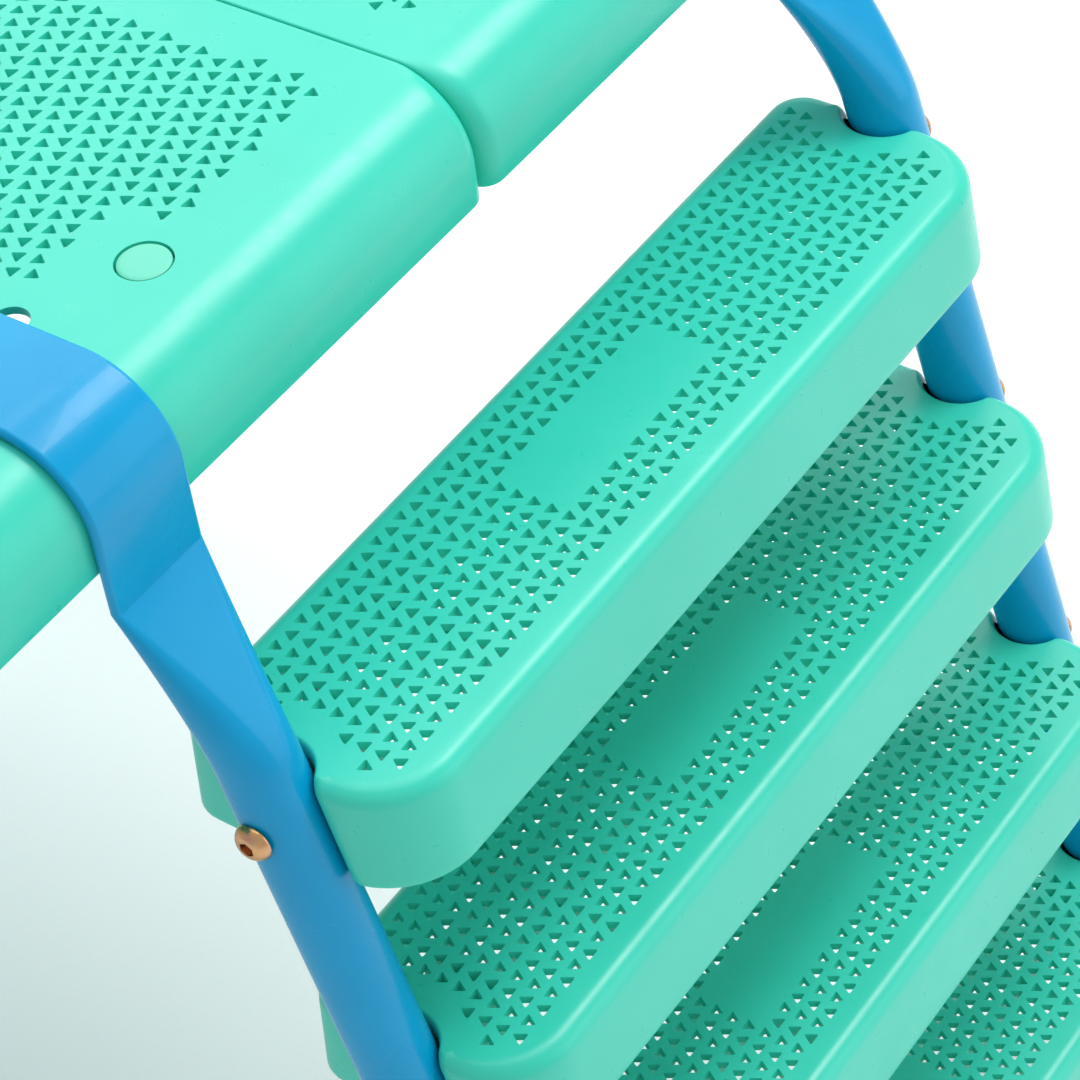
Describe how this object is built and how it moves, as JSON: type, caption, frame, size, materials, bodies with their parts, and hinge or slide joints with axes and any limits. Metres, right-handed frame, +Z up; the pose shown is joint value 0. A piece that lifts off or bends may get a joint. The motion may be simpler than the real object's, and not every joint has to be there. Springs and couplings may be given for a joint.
{
  "type": "toddler slide",
  "caption": "Free-standing toddler slide: leaning tube ladder with perforated moulded treads, two-part platform, side rails and a moulded chute.",
  "frame": {"origin": "on the floor, at the middle of the footprint", "axes": "+Z up, +Y from the ladder towards the chute exit, +X to the right of a child climbing the ladder"},
  "size_m": [0.6452, 1.7266, 0.94],
  "materials": {
    "tread_polymer": "satin moulded",
    "chute_polymer": "glossy moulded",
    "plug_polymer": "satin moulded",
    "foot_rubber": "matt",
    "painted_tube": "gloss powder coat",
    "plated_steel": "yellow passivated zinc"
  },
  "bodies": {
    "root": {"step_1": "tread_polymer", "step_2": "tread_polymer", "step_3": "tread_polymer", "step_4": "tread_polymer", "step_bolts": "plated_steel", "step_nuts": "plated_steel", "ladder_tube_left": "painted_tube", "ladder_tube_right": "painted_tube", "ladder_feet": "foot_rubber", "hook_bolts": "plated_steel", "hook_nuts": "plated_steel", "platform_left": "tread_polymer", "platform_right": "tread_polymer", "platform_screws": "plated_steel", "platform_nuts": "plated_steel", "platform_plugs": "plug_polymer", "seam_screws": "plated_steel", "seam_nuts": "plated_steel", "rear_crossbar": "painted_tube", "front_crossbar": "painted_tube", "side_bearer_left": "painted_tube", "side_bearer_right": "painted_tube", "bearer_bolts": "plated_steel", "bearer_inserts": "plated_steel", "front_leg_left": "painted_tube", "front_leg_right": "painted_tube", "front_feet": "foot_rubber", "leg_bolts": "plated_steel", "leg_nuts": "plated_steel", "leg_brace": "painted_tube", "brace_bolts": "plated_steel", "brace_inserts": "plated_steel", "side_rail_left": "painted_tube", "side_rail_right": "painted_tube", "rail_bolts": "plated_steel", "rail_inserts": "plated_steel", "rail_caps": "foot_rubber", "chute": "chute_polymer", "chute_bolts": "plated_steel", "chute_nuts": "plated_steel", "chute_foot_hoop": "painted_tube", "hoop_bolts": "plated_steel", "hoop_nuts": "tread_polymer", "hoop_caps": "foot_rubber"}
  },
  "joints": []
}
